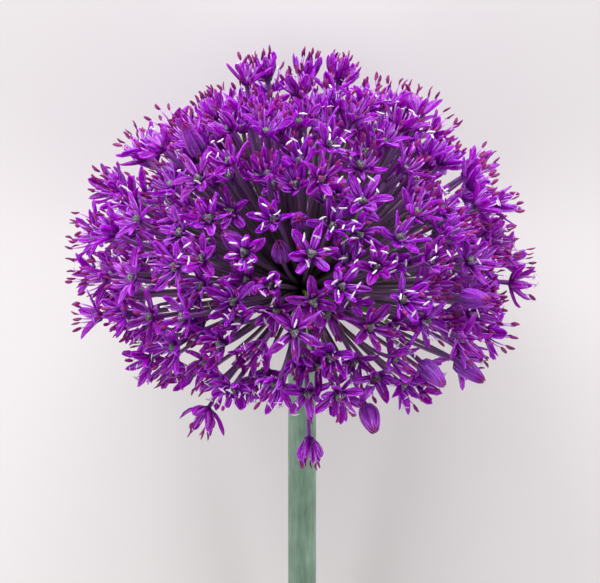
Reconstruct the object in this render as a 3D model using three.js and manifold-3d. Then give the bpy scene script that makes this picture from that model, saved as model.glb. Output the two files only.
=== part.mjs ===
// Allium flower head: a globe of small star florets on a short cut stem, lying on a surface.
//
// Units are millimetres and +Z is up. The stem lies towards -Y and its cut end touches the surface,
// so the flower's own axis climbs a little towards +Y. The origin is on the surface, at the middle of
// the flower's footprint.
//
// Two pieces: the scape, which is the leafless stem, and the umbel, which is everything that grows
// from its tip: the receptacle, the pedicels, the open florets and the late buds.
import * as THREE from "three";
import { ConvexGeometry } from "three/addons/geometries/ConvexGeometry.js";
import { mergeVertices } from "three/addons/utils/BufferGeometryUtils.js";
import Module from "manifold-3d";

const wasm = await Module();
wasm.setup();

// --- Driving dimensions ------------------------------------------------------------------------

const HEAD_RADIUS = 47.5; // centre of the umbel to the tips of the stamens
const UMBEL_HEIGHT = 43; // centre of the umbel above the surface: its underside is pressed in a little
const FOOTPRINT_SHIFT = [-0.02, 35.31]; // the umbel's centre from the middle of the whole footprint
const SCAPE_LENGTH = 125; // centre of the umbel to the cut end
const SCAPE_TOP_RADIUS = 2.95;
const SCAPE_CUT_RADIUS = 3.1;
const SCAPE_SIDES = 28;
const JOINT_GAP = 0.3; // between the receptacle and the scape

const FLORETS = 142; // placed by the spiral, besides the stragglers
const SEED = 8;
const EDGE_POLAR = 93.5; // degrees from the top of the umbel to its lowest regular florets
const POSITION_JITTER = 3.5; // degrees
const FLORET_ROOM = 10.8; // degrees that florets are eased apart to, as far as they can be
const EASING_ROUNDS = 30;
const LENGTH_JITTER = 0.065; // share of the pedicel's length
const BUD_SHARE = 0.02; // share of the spiral's florets that are still shut

const TEPALS = 6;
const TEPAL_LENGTH = 6.6;
const TEPAL_HALF_WIDTH = 1;
const TEPAL_WIDEST = 0.45; // share of its length
const TEPAL_THICKNESS = 0.66; // at the keel
const TEPAL_CLEARANCE = 1.9; // between the tepals of neighbouring florets
const OPEN_LEAST = 45; // degrees between a tepal and the floret's axis
const OPEN_MOST = 78;
const FACE_TILT = 0.3; // how far a floret may look away from its pedicel's direction
const HUB_RADIUS = 0.85;
const OVARY_HEIGHT = 1.9;
const STAMEN_LENGTH = 6.4;
const STAMEN_SPREAD = 27; // degrees from the floret's axis
const FLORET_REACH = 6.3; // how far a floret stands out past its pedicel
const BUD_LENGTH = 7.2;
const BUD_RADIUS = 1.8;

const PEDICEL_LENGTH = HEAD_RADIUS - FLORET_REACH;
const PEDICEL_ROOT_RADIUS = 0.37; // it thickens from here to the floret's hub
const RECEPTACLE_RADIUS = 4.8;
const RECEPTACLE_FOOT = 3.7; // centre of the umbel to the receptacle's flat underside

// Places where the florets part and the pedicels show: polar angle from the top of the umbel,
// azimuth from its upper side towards +X, and radius, in degrees.
const OPENINGS = [
  { polar: 41, azimuth: -24, radius: 11.5 },
  { polar: 40, azimuth: 50, radius: 8 },
  { polar: 62, azimuth: -2, radius: 6.5 },
];

// Florets and late buds that stand apart from the globe of the others. The first one is the bud that
// carries the head: the surface presses a small flat spot on its tip. Some nod, which is given as the
// polar angle that they face, and some are only half open.
const STRAGGLERS = [
  { polar: 97, azimuth: 180, length: 43, shut: true },
  { polar: 107, azimuth: 2, length: 42, shut: false, nod: 148, open: 36 },
  { polar: 103, azimuth: -29, length: 40, shut: false, nod: 126, open: 40 },
  { polar: 31, azimuth: 161, length: 43.5, shut: false, nod: 33, open: 38 },
  { polar: 30, azimuth: -161, length: 43.7, shut: false, nod: 32, open: 36 },
  { polar: 40, azimuth: -1, length: 35.5, shut: true },
  { polar: 50, azimuth: -29, length: 33.5, shut: true },
  { polar: 51, azimuth: -9, length: 32.5, shut: true },
  { polar: 92, azimuth: 48, length: 42, shut: true, nod: 106 },
  { polar: 90, azimuth: 37, length: 40, shut: true, nod: 104 },
  { polar: 100, azimuth: 19, length: 40.5, shut: true },
];
const STRAGGLER_ROOM = 8.5; // degrees that the regular florets keep from a straggler
const FLAT_SPOT_DEPTH = 1.2; // how much of the carrying bud's tip is pressed flat

const COLOURS = { scape: 0x7f9c7a, umbel: 0x9a1fb4 };

// --- The lying frame ---------------------------------------------------------------------------

// The scape leans so that the lower edge of its cut end is on the surface.
const LEAN =
  Math.asin(UMBEL_HEIGHT / Math.hypot(SCAPE_LENGTH, SCAPE_CUT_RADIUS)) -
  Math.atan(SCAPE_CUT_RADIUS / SCAPE_LENGTH);
const CENTRE = new THREE.Vector3(FOOTPRINT_SHIFT[0], FOOTPRINT_SHIFT[1], UMBEL_HEIGHT);
const RIGHT = new THREE.Vector3(1, 0, 0);
const TOP = new THREE.Vector3(0, Math.cos(LEAN), Math.sin(LEAN)); // from the cut end to the crown
const UPPER = new THREE.Vector3(0, -Math.sin(LEAN), Math.cos(LEAN)); // square to TOP, away from the surface

const radians = THREE.MathUtils.degToRad;

function directionOf(polar, azimuth) {
  const [p, a] = [radians(polar), radians(azimuth)];
  return new THREE.Vector3()
    .addScaledVector(TOP, Math.cos(p))
    .addScaledVector(UPPER, Math.sin(p) * Math.cos(a))
    .addScaledVector(RIGHT, Math.sin(p) * Math.sin(a));
}

// --- Where the florets stand -------------------------------------------------------------------

let state = SEED;
function random() {
  state = (1664525 * state + 1013904223) % 2 ** 32;
  return state / 2 ** 32;
}
const spread = () => 2 * random() - 1;

// Turns a direction away from a place until the angle between them is at least the given one.
function turnedFrom(direction, place, angle) {
  const between = direction.angleTo(place);
  if (between >= angle || between < 1e-6) return direction;
  const axis = place.clone().cross(direction).normalize();
  return direction.clone().applyAxisAngle(axis, angle - between);
}

// The regular florets: a spiral from the top of the umbel down to its edge, shaken, and then eased
// apart round after round until each has its own room and none stands in an opening.
function regularDirections() {
  const golden = 180 * (3 - Math.sqrt(5));
  let directions = Array.from({ length: FLORETS }, (_, i) => {
    const height = 1 - ((i + 0.5) / FLORETS) * (1 - Math.cos(radians(EDGE_POLAR)));
    const polar = THREE.MathUtils.radToDeg(Math.acos(height));
    const sideways = POSITION_JITTER / Math.max(0.3, Math.sin(radians(polar)));
    return directionOf(polar + POSITION_JITTER * spread(), i * golden + sideways * spread());
  });
  const taken = [...OPENINGS, ...STRAGGLERS.map((s) => ({ radius: STRAGGLER_ROOM, ...s }))].map((t) => ({
    place: directionOf(t.polar, t.azimuth),
    room: radians(t.radius),
  }));
  for (let round = 0; round < EASING_ROUNDS; round++) {
    directions = directions.map((direction, i) => {
      let moved = direction;
      directions.forEach((other, j) => {
        const room = radians(FLORET_ROOM);
        const between = direction.angleTo(other);
        if (j !== i && between < room) moved = turnedFrom(moved, other, between + (room - between) / 2);
      });
      taken.forEach(({ place, room }) => (moved = turnedFrom(moved, place, room)));
      const low = moved.angleTo(TOP) - radians(EDGE_POLAR + 2);
      return low > 0 ? turnedFrom(moved, TOP.clone().negate(), radians(180 - EDGE_POLAR - 2)) : moved;
    });
  }
  return directions;
}

// A pedicel that would push its floret through the surface stops short of it.
function lengthAbove(direction, length, reach) {
  if (direction.z >= 0) return length;
  return Math.min(length, UMBEL_HEIGHT / -direction.z - reach);
}

// The frame with its third axis along a direction, turned about it.
function frameAt(place, direction, twist) {
  const helper = Math.abs(direction.x) < 0.9 ? RIGHT : TOP;
  const across = direction.clone().cross(helper).normalize();
  across.applyAxisAngle(direction, radians(twist));
  const beside = direction.clone().cross(across);
  return new THREE.Matrix4().makeBasis(across, beside, direction).setPosition(place);
}

const alongPedicel = (direction, distance) => CENTRE.clone().addScaledVector(direction, distance);

// A point of tepal k: how far along it, to its side, and below its upper face.
function onTepal({ direction, length, facing, twist, open }, k, along, side, below) {
  const [outwards, upwards] = [Math.sin(radians(open)), Math.cos(radians(open))];
  return new THREE.Vector3(
    0.5 * HUB_RADIUS + along * outwards + below * upwards,
    side,
    along * upwards - below * outwards,
  )
    .applyAxisAngle(new THREE.Vector3(0, 0, 1), radians(60 * k))
    .applyMatrix4(frameAt(alongPedicel(direction, length), facing, twist));
}

// A floret turns, and then closes a little, until its tepals clear those of the florets before it.
function settle(floret, before) {
  const outline = (f) =>
    [0.4, 0.7, 1].flatMap((share) =>
      Array.from({ length: TEPALS }, (_, k) => onTepal(f, k, share * TEPAL_LENGTH, 0, 0)),
    );
  const near = before.filter((other) => other.direction.angleTo(floret.direction) < radians(22));
  let best = { clear: -1 };
  for (let close = 0; close < 3 && best.clear < TEPAL_CLEARANCE; close++)
    for (let turn = 0; turn < 6; turn++) {
      const tried = { ...floret, open: floret.open * (1 - 0.16 * close), twist: floret.twist + 10 * turn };
      tried.outline = outline(tried);
      tried.clear = Math.min(
        99,
        ...near.flatMap((other) => other.outline.flatMap((p) => tried.outline.map((q) => p.distanceTo(q)))),
      );
      if (tried.clear > best.clear) best = tried;
    }
  return best;
}

function placeFlorets() {
  const plans = [
    ...STRAGGLERS.map((s) => ({ ...s, direction: directionOf(s.polar, s.azimuth) })),
    ...regularDirections().map((direction) => ({
      direction,
      length: PEDICEL_LENGTH * (1 + LENGTH_JITTER * spread()),
      shut: random() < BUD_SHARE,
    })),
  ];
  const placed = [];
  for (const { direction, length, shut, nod, open } of plans) {
    const tilted = [RIGHT, UPPER, TOP]
      .reduce((sum, axis) => sum.addScaledVector(axis, FACE_TILT * spread()), direction.clone())
      .normalize();
    const opened = OPEN_LEAST + (OPEN_MOST - OPEN_LEAST) * random();
    const floret = {
      direction,
      shut,
      facing: nod ? turnedFrom(direction, TOP, radians(nod)) : tilted,
      length: lengthAbove(direction, length, shut ? BUD_LENGTH - FLAT_SPOT_DEPTH : FLORET_REACH),
      open: open ?? opened,
      twist: 60 * random(),
    };
    const outline = [alongPedicel(direction, floret.length + BUD_LENGTH / 2)];
    placed.push(shut ? { ...floret, outline } : settle(floret, placed));
  }
  return placed;
}

// --- Solids ------------------------------------------------------------------------------------

function solidOf(geometry) {
  const merged = geometry.clone();
  merged.deleteAttribute("normal");
  merged.deleteAttribute("uv");
  const closed = mergeVertices(merged, 1e-4);
  return new wasm.Manifold(
    new wasm.Mesh({
      numProp: 3,
      vertProperties: new Float32Array(closed.attributes.position.array),
      triVerts: new Uint32Array(closed.index.array),
    }),
  );
}

function geometryOf(solid) {
  const { vertProperties, triVerts } = solid.getMesh();
  return new THREE.BufferGeometry()
    .setAttribute("position", new THREE.BufferAttribute(vertProperties, 3))
    .setIndex(new THREE.BufferAttribute(triVerts, 1));
}

// Collects a closed shell point by point.
class Shell {
  points = [];
  faces = [];
  point(vector) {
    this.points.push(vector);
    return this.points.length - 1;
  }
  ring(count, radius, height, turn, frame) {
    return Array.from({ length: count }, (_, i) => {
      const angle = radians((360 * i) / count + turn);
      return this.point(
        new THREE.Vector3(radius * Math.cos(angle), radius * Math.sin(angle), height).applyMatrix4(frame),
      );
    });
  }
  solid() {
    return solidOf(new THREE.BufferGeometry().setFromPoints(this.points).setIndex(this.faces.flat()));
  }
}

// Runs a three-sided pedicel from three points round a floret's foot down into the receptacle.
function addPedicel(shell, { direction, length, facing }, top) {
  const foot = alongPedicel(direction, length);
  const untilted = new THREE.Quaternion().setFromUnitVectors(facing, direction);
  const root = top.map((index) => {
    const out = shell.points[index].clone().sub(foot).applyQuaternion(untilted);
    out.multiplyScalar(PEDICEL_ROOT_RADIUS / HUB_RADIUS);
    return shell.point(alongPedicel(direction, RECEPTACLE_RADIUS).add(out));
  });
  shell.root = root;
  for (let j = 0; j < 3; j++) {
    const k = (j + 1) % 3;
    shell.faces.push([top[k], top[j], root[j]], [top[k], root[j], root[k]]);
  }
  shell.faces.push([root[2], root[1], root[0]]);
}

// An open floret: six keeled tepals round a hub, each with a stamen over it, and the ovary's cone.
function openFloret(floret) {
  const shell = new Shell();
  const frame = frameAt(alongPedicel(floret.direction, floret.length), floret.facing, floret.twist);
  const notches = shell.ring(TEPALS, HUB_RADIUS, 0, 30, frame);
  const ovary = shell.point(new THREE.Vector3(0, 0, OVARY_HEIGHT).applyMatrix4(frame));
  const widest = TEPAL_WIDEST * TEPAL_LENGTH;
  const lean = radians(STAMEN_SPREAD);
  const keels = [];
  for (let k = 0; k < TEPALS; k++) {
    const at = (along, side, below) => shell.point(onTepal(floret, k, along, side, below));
    const [right, left] = [at(widest, -TEPAL_HALF_WIDTH, 0), at(widest, TEPAL_HALF_WIDTH, 0)];
    const [keel, tip] = [at(0.5 * widest, 0, TEPAL_THICKNESS), at(TEPAL_LENGTH, 0, 0)];
    const stamen = shell.point(
      new THREE.Vector3(STAMEN_LENGTH * Math.sin(lean), 0, STAMEN_LENGTH * Math.cos(lean))
        .applyAxisAngle(new THREE.Vector3(0, 0, 1), radians(60 * k))
        .applyMatrix4(frame),
    );
    const [before, after] = [notches.at(k - 1), notches[k]];
    shell.faces.push([before, right, left], [before, left, after], [right, tip, left]);
    shell.faces.push([right, before, keel], [tip, right, keel], [left, tip, keel], [after, left, keel]);
    shell.faces.push([before, after, stamen], [after, ovary, stamen], [ovary, before, stamen]);
    keels.push(keel);
  }
  // Underneath, each two tepals share a side of the pedicel.
  for (let k = 0; k < TEPALS; k += 2) {
    const [from, between, to] = [notches[k], notches[k + 1], notches[(k + 2) % TEPALS]];
    const [first, second] = [keels[k + 1], keels[(k + 2) % TEPALS]];
    shell.faces.push([second, between, first], [to, second, first], [to, first, from]);
  }
  addPedicel(shell, floret, [notches[0], notches[2], notches[4]]);
  return shell;
}

// A shut bud: a slim six-sided spindle.
function shutBud(floret) {
  const shell = new Shell();
  const frame = frameAt(alongPedicel(floret.direction, floret.length), floret.facing, floret.twist);
  const foot = shell.ring(3, HUB_RADIUS, 0, 30, frame);
  const waist = shell.ring(6, BUD_RADIUS, 0.45 * BUD_LENGTH, 0, frame);
  const tip = shell.point(new THREE.Vector3(0, 0, BUD_LENGTH).applyMatrix4(frame));
  for (let k = 0; k < 6; k++) {
    const n = (k + 1) % 6;
    shell.faces.push([waist[k], waist[n], tip]);
    shell.faces.push([foot[Math.floor(k / 2)], waist[n], waist[k]]);
  }
  for (let j = 0; j < 3; j++) shell.faces.push([foot[j], foot[(j + 1) % 3], waist[(2 * j + 2) % 6]]);
  addPedicel(shell, floret, foot);
  return shell;
}

// The receptacle: the swollen tip of the scape. It is the hull of all the pedicels' roots, so that
// each of them grows out of a facet of its own, and of its own flat underside.
function receptacle(shells) {
  const roots = shells.flatMap((shell) => shell.root.map((index) => shell.points[index]));
  const foot = Array.from({ length: 6 }, (_, k) =>
    new THREE.Vector3(Math.cos((k * Math.PI) / 3), 0, Math.sin((k * Math.PI) / 3))
      .multiplyScalar(SCAPE_TOP_RADIUS + 0.15)
      .setY(-RECEPTACLE_FOOT)
      .applyMatrix4(alongTop(0)),
  );
  return solidOf(new ConvexGeometry([...roots, ...foot]));
}

// Carries a lathed piece, whose own axis is +Y, onto the flower's axis at a distance from the centre.
function alongTop(distance) {
  return new THREE.Matrix4()
    .makeBasis(RIGHT, TOP, UPPER)
    .setPosition(CENTRE.clone().addScaledVector(TOP, distance));
}

function surfaceBlock() {
  const [size, depth] = [4 * SCAPE_LENGTH, 20];
  return solidOf(new THREE.BoxGeometry(size, size, depth).translate(0, 0, -depth / 2));
}

function umbel() {
  const shells = placeFlorets().map((f) => (f.shut ? shutBud(f) : openFloret(f)));
  const grown = wasm.Manifold.union([receptacle(shells), ...shells.map((shell) => shell.solid())]);
  return geometryOf(grown.subtract(surfaceBlock()));
}

// The scape: a round leafless stem that thickens towards its cut end and swells under the umbel.
function scape() {
  const [top, cut] = [-(RECEPTACLE_FOOT + JOINT_GAP), -SCAPE_LENGTH];
  const profile = [
    [0, cut],
    [SCAPE_CUT_RADIUS, cut],
    [SCAPE_TOP_RADIUS, top - 8],
    [SCAPE_TOP_RADIUS + 0.15, top],
    [0, top],
  ].map(([x, y]) => new THREE.Vector2(x, y));
  const lathe = new THREE.LatheGeometry(profile, SCAPE_SIDES);
  return geometryOf(solidOf(lathe.applyMatrix4(alongTop(0))).subtract(surfaceBlock()));
}

// --- The group ---------------------------------------------------------------------------------

function piece(name, geometry, colour, roughness) {
  geometry.computeVertexNormals();
  const material = new THREE.MeshStandardMaterial({ color: colour, roughness, flatShading: true });
  const mesh = new THREE.Mesh(geometry, material);
  mesh.name = name;
  return mesh;
}

const flower = new THREE.Group();
flower.add(piece("scape", scape(), COLOURS.scape, 0.6), piece("umbel", umbel(), COLOURS.umbel, 0.5));

export default flower;
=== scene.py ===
"""Allium flower head lying on a table: a globe of small violet star florets on a cut green stem.

The florets stand where the solids have them, by the same rule, and each is grown here in full:
stalk, tepals, stamens, ovary and style. Lengths in the code are in millimetres, in the frame of the
solids, and become metres only when a mesh is written.
"""

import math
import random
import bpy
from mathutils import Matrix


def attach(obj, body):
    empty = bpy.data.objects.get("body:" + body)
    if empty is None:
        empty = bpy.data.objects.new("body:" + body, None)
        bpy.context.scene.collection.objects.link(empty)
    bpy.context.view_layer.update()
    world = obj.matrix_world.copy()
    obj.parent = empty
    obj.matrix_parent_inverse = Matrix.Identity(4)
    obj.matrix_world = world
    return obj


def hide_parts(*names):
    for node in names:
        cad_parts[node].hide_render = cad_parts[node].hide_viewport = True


bl_info = {
    "name": "Allium flower head",
    "version": (1, 0, 0),
    "blender": (4, 5, 0),
    "location": "View3D > Sidebar > Allium",
    "description": "Grows an allium umbel on its cut stem, floret by floret",
    "category": "Add Mesh",
}

import bmesh
import bpy
import numpy as np
from bpy.props import FloatProperty, FloatVectorProperty, IntProperty, PointerProperty
from mathutils import Matrix, Vector

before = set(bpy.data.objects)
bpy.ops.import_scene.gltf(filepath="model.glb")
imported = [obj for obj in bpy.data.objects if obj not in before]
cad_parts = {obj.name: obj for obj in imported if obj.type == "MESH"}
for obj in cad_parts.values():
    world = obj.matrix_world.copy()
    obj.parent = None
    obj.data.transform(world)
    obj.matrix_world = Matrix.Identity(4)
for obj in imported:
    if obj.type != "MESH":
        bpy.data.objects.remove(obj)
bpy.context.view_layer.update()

MM = 0.001

# --- The flower's plan, as in the solids ---------------------------------------------------------

HEAD_RADIUS = 47.5
UMBEL_HEIGHT = 43.0
CENTRE = np.array([-0.02, 35.31, UMBEL_HEIGHT])
SCAPE_LENGTH = 125.0
SCAPE_TOP_RADIUS = 2.95
SCAPE_CUT_RADIUS = 3.1
RECEPTACLE_RADIUS = 4.8
RECEPTACLE_FOOT = 3.7

FLORETS = 142
SEED = 8
GOLDEN_ANGLE = 180 * (3 - math.sqrt(5))
EDGE_POLAR = 93.5
EASED_EDGE = EDGE_POLAR + 2
POSITION_JITTER = 3.5
FLORET_ROOM = 10.8
EASING_ROUNDS = 30
LENGTH_JITTER = 0.065
BUD_SHARE = 0.02
OPEN_LEAST = 45.0
OPEN_MOST = 78.0
FACE_TILT = 0.3
TEPALS = 6
TEPAL_LENGTH = 6.6
TEPAL_CLEARANCE = 1.9
HUB_RADIUS = 0.85
FLORET_REACH = 6.3
BUD_LENGTH = 7.2
FLAT_SPOT_DEPTH = 1.2
PEDICEL_LENGTH = HEAD_RADIUS - FLORET_REACH

# How a floret is tried against those within an angle of it: turned by steps, then closed by steps.
NEIGHBOUR_ANGLE = math.radians(22)
TRIED_TURNS = 6
TURN_STEP = 10
TRIED_CLOSINGS = 3
CLOSING_STEP = 0.16

# Polar angle from the top of the umbel, azimuth from its upper side towards +X, and radius.
OPENINGS = [(41, -24, 11.5), (40, 50, 8), (62, -2, 6.5)]
# Polar angle, azimuth, length of the pedicel, whether the floret is still shut, the polar angle that
# it nods to face, and how far it is open. None leaves the last two to chance.
STRAGGLERS = [
    (97, 180, 43, True, None, None),
    (107, 2, 42, False, 148, 36),
    (103, -29, 40, False, 126, 40),
    (31, 161, 43.5, False, 33, 38),
    (30, -161, 43.7, False, 32, 36),
    (40, -1, 35.5, True, None, None),
    (50, -29, 33.5, True, None, None),
    (51, -9, 32.5, True, None, None),
    (92, 48, 42, True, 106, None),
    (90, 37, 40, True, 104, None),
    (100, 19, 40.5, True, None, None),
]
STRAGGLER_ROOM = 8.5

# Small florets that the solids leave out stand deeper, in the widest gaps between the others.
FILLERS = 170
FILLER_SEED = 77
FILLER_SPOTS = 1600
FILLER_LEAST_GAP = math.radians(4.2)
FILLER_EDGE = 100.0
FILLER_TILT = 0.4
FILLER_PEDICEL = (30.0, 38.5)
FILLER_OPEN = (38, 66)
# They keep clear of the openings, but for this share of each one's radius.
OPENING_KEPT = 0.8

# The stem leans so that the lower edge of its cut end is on the table.
LEAN = math.asin(UMBEL_HEIGHT / math.hypot(SCAPE_LENGTH, SCAPE_CUT_RADIUS)) - math.atan(
    SCAPE_CUT_RADIUS / SCAPE_LENGTH
)
RIGHT = np.array([1.0, 0.0, 0.0])
TOP = np.array([0.0, math.cos(LEAN), math.sin(LEAN)])
UPPER = np.array([0.0, -math.sin(LEAN), math.cos(LEAN)])


def unit(vector):
    return vector / np.linalg.norm(vector)


def turned(vector, axis, angle):
    """The vector turned about an axis by an angle in radians."""
    cos, sin = math.cos(angle), math.sin(angle)
    return vector * cos + np.cross(axis, vector) * sin + axis * np.dot(axis, vector) * (1 - cos)


def angle_between(a, b):
    return math.acos(max(-1.0, min(1.0, float(np.dot(a, b)))))


def angles_to(directions, others):
    """The angle from each of the directions to each of the others."""
    return np.arccos(np.clip(directions @ np.transpose(others), -1, 1))


def direction_of(polar, azimuth):
    p, a = math.radians(polar), math.radians(azimuth)
    return TOP * math.cos(p) + UPPER * math.sin(p) * math.cos(a) + RIGHT * math.sin(p) * math.sin(a)


def frame_at(direction, twist):
    """The three axes of a frame whose third one is the direction, turned about it, as rows."""
    helper = RIGHT if abs(direction[0]) < 0.9 else TOP
    across = turned(unit(np.cross(direction, helper)), direction, math.radians(twist))
    return np.array([across, np.cross(direction, across), direction])


class Draws:
    """The same draws, in the same order, as the solids were placed with."""

    def __init__(self, seed):
        self.state = seed

    def one(self):
        self.state = (1664525 * self.state + 1013904223) % 2**32
        return self.state / 2**32

    def spread(self):
        return 2 * self.one() - 1


def turned_from(direction, place, angle):
    """The direction turned away from a place until it is at least that angle from it."""
    between = angle_between(direction, place)
    if between >= angle or between < 1e-6:
        return direction
    return turned(direction, unit(np.cross(place, direction)), angle - between)


def eased(directions, taken):
    """The directions moved once, away from the neighbours that are too near and the taken places."""
    room = math.radians(FLORET_ROOM)
    old = np.array(directions)
    between = angles_to(old, old)
    moved_all = []
    for i in range(FLORETS):
        moved = old[i]
        for j in np.nonzero(between[i] < room)[0]:
            if j != i:
                moved = turned_from(moved, old[j], between[i, j] + (room - between[i, j]) / 2)
        for place, clear in taken:
            moved = turned_from(moved, place, clear)
        if angle_between(moved, TOP) > math.radians(EASED_EDGE):
            moved = turned_from(moved, -TOP, math.radians(180 - EASED_EDGE))
        moved_all.append(moved)
    return moved_all


def regular_directions(draws):
    """A spiral from the top of the umbel to its edge, shaken and then eased apart."""
    directions = []
    for i in range(FLORETS):
        fallen = (i + 0.5) / FLORETS * (1 - math.cos(math.radians(EDGE_POLAR)))
        polar = math.degrees(math.acos(1 - fallen))
        sideways = POSITION_JITTER / max(0.3, math.sin(math.radians(polar)))
        polar += POSITION_JITTER * draws.spread()
        directions.append(direction_of(polar, i * GOLDEN_ANGLE + sideways * draws.spread()))
    taken = [(direction_of(p, a), math.radians(r)) for p, a, r in OPENINGS]
    taken += [(direction_of(p, a), math.radians(STRAGGLER_ROOM)) for p, a, *_ in STRAGGLERS]
    for _ in range(EASING_ROUNDS):
        directions = eased(directions, taken)
    return directions


def tepal_lines(floret, opening, twist):
    """Points along the six tepals of a floret, to measure how near its neighbours' are."""
    out, up = math.sin(math.radians(opening)), math.cos(math.radians(opening))
    points = []
    for share in (0.4, 0.7, 1.0):
        along = share * TEPAL_LENGTH
        for k in range(TEPALS):
            side = math.radians(60 * k)
            reach = 0.5 * HUB_RADIUS + along * out
            points.append([reach * math.cos(side), reach * math.sin(side), along * up])
    return np.array(points) @ frame_at(floret["facing"], twist) + floret["hub"]


def settle(floret, before):
    """Turns a floret, and then closes it a little, until its tepals clear those before it."""
    way = floret["direction"]
    near = [f["lines"] for f in before if angle_between(f["direction"], way) < NEIGHBOUR_ANGLE]
    best = None
    for close in range(TRIED_CLOSINGS):
        if best and best["clear"] >= TEPAL_CLEARANCE:
            break
        for turn in range(TRIED_TURNS):
            opening, twist = floret["open"] * (1 - CLOSING_STEP * close), floret["twist"] + TURN_STEP * turn
            lines = tepal_lines(floret, opening, twist)
            apart = [float(np.linalg.norm(o[:, None] - lines[None], axis=2).min()) for o in near]
            clear = min(apart, default=math.inf)
            if best is None or clear > best["clear"]:
                best = {**floret, "open": opening, "twist": twist, "lines": lines, "clear": clear}
    return best


def tilted(direction, tilt, draw):
    """The direction tilted at random, by one draw along each axis."""
    facing = direction.copy()
    for axis in (RIGHT, UPPER, TOP):
        facing = facing + axis * tilt * draw()
    return unit(facing)


def above_table(length, direction, reach):
    """The length of a pedicel, cut so that the floret at its end doesn't reach through the table."""
    return min(length, UMBEL_HEIGHT / -direction[2] - reach) if direction[2] < 0 else length


def place_florets():
    """The florets and buds that the solids have."""
    draws = Draws(SEED)
    regular = regular_directions(draws)
    plans = [(direction_of(p, a), *rest) for p, a, *rest in STRAGGLERS]
    for direction in regular:
        length = PEDICEL_LENGTH * (1 + LENGTH_JITTER * draws.spread())
        plans.append((direction, length, draws.one() < BUD_SHARE, None, None))
    placed = []
    for direction, length, shut, nod, opened in plans:
        facing = tilted(direction, FACE_TILT, draws.spread)
        opening = OPEN_LEAST + (OPEN_MOST - OPEN_LEAST) * draws.one()
        length = above_table(length, direction, BUD_LENGTH - FLAT_SPOT_DEPTH if shut else FLORET_REACH)
        floret = {
            "direction": direction,
            "facing": turned_from(direction, TOP, math.radians(nod)) if nod else facing,
            "shut": shut,
            "small": False,
            "open": opened or opening,
            "twist": 60 * draws.one(),
            "hub": CENTRE + direction * length,
            "lines": np.array([CENTRE + direction * (length + BUD_LENGTH / 2)]),
        }
        placed.append(floret if shut else settle(floret, placed))
    return placed


def fill_gaps(placed):
    """The placed florets, and a small one in each of the widest gaps that are left between them."""
    shares = (np.arange(FILLER_SPOTS) + 0.5) / FILLER_SPOTS * (1 - math.cos(math.radians(FILLER_EDGE)))
    polars = [math.degrees(math.acos(1 - share)) for share in shares]
    spots = np.array([direction_of(polar, i * GOLDEN_ANGLE) for i, polar in enumerate(polars)])
    gap = angles_to(spots, np.array([f["direction"] for f in placed])).min(axis=1)
    for polar, azimuth, radius in OPENINGS:
        gap[angles_to(spots, direction_of(polar, azimuth)) < math.radians(radius * OPENING_KEPT)] = 0
    rng = random.Random(FILLER_SEED)
    filled = list(placed)
    for _ in range(FILLERS):
        widest = int(np.argmax(gap))
        if gap[widest] < FILLER_LEAST_GAP:
            break
        direction = spots[widest]
        gap = np.minimum(gap, angles_to(spots, direction))
        length = above_table(rng.uniform(*FILLER_PEDICEL), direction, FLORET_REACH)
        floret = {
            "direction": direction,
            "facing": tilted(direction, FILLER_TILT, lambda: rng.uniform(-1, 1)),
            "shut": False,
            "small": True,
            "open": rng.uniform(*FILLER_OPEN),
            "twist": rng.uniform(0, 60),
            "hub": CENTRE + direction * length,
        }
        filled.append(settle(floret, filled))
    return filled


PLACED = fill_gaps(place_florets())
OPEN_FLORETS = [floret for floret in PLACED if not floret["shut"]]
BUDS = [floret for floret in PLACED if floret["shut"]]

# --- Sizes and colours ---------------------------------------------------------------------------


def length_prop(name, description, millimetres):
    size = {"default": millimetres * MM, "min": 0.0, "subtype": "DISTANCE", "unit": "LENGTH"}
    return FloatProperty(name=name, description=description, **size)


def linear(hex_colour):
    """A linear RGB triple from an sRGB hex value."""
    channels = [int(hex_colour[i : i + 2], 16) / 255 for i in (1, 3, 5)]
    return [c / 12.92 if c <= 0.04045 else ((c + 0.055) / 1.055) ** 2.4 for c in channels]


def colour_prop(name, of, hex_colour):
    colour = {"default": linear(hex_colour), "min": 0.0, "max": 1.0, "size": 3, "subtype": "COLOR"}
    return FloatVectorProperty(name=name, description="Colour of " + of, **colour)


class ALLIUM_PG_stalks(bpy.types.PropertyGroup):
    root_radius: length_prop("Root radius", "Half the thickness of a pedicel at the receptacle", 0.42)
    top_radius: length_prop("Top radius", "Half the thickness of a pedicel under its floret", 0.44)
    hub_radius: length_prop("Hub radius", "Half the width of the floret's foot", 0.8)
    olive: colour_prop("Olive", "the pedicels near the receptacle", "#6C5864")
    plum: colour_prop("Plum", "the pedicels' flush under the florets", "#7C4A8A")
    fresh: colour_prop("Fresh green", "the few pedicels that stayed green", "#6FA02E")


class ALLIUM_PG_tepals(bpy.types.PropertyGroup):
    width: length_prop("Width", "Greatest width of a tepal", 1.95)
    thickness: length_prop("Thickness", "Thickness of a tepal", 0.16)
    channel: FloatProperty(name="Channel", description="Rise of the edges over the midrib", default=0.5)
    deep: colour_prop("Deep violet", "the midrib", "#640070")
    body: colour_prop("Violet", "the blade", "#AA02C6")
    margin: colour_prop("Margin", "the blade's edges", "#8E02AC")
    # The lilac tip is painted highlight.
    pale: colour_prop("Lilac", "the tip", "#B034D8")


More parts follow.
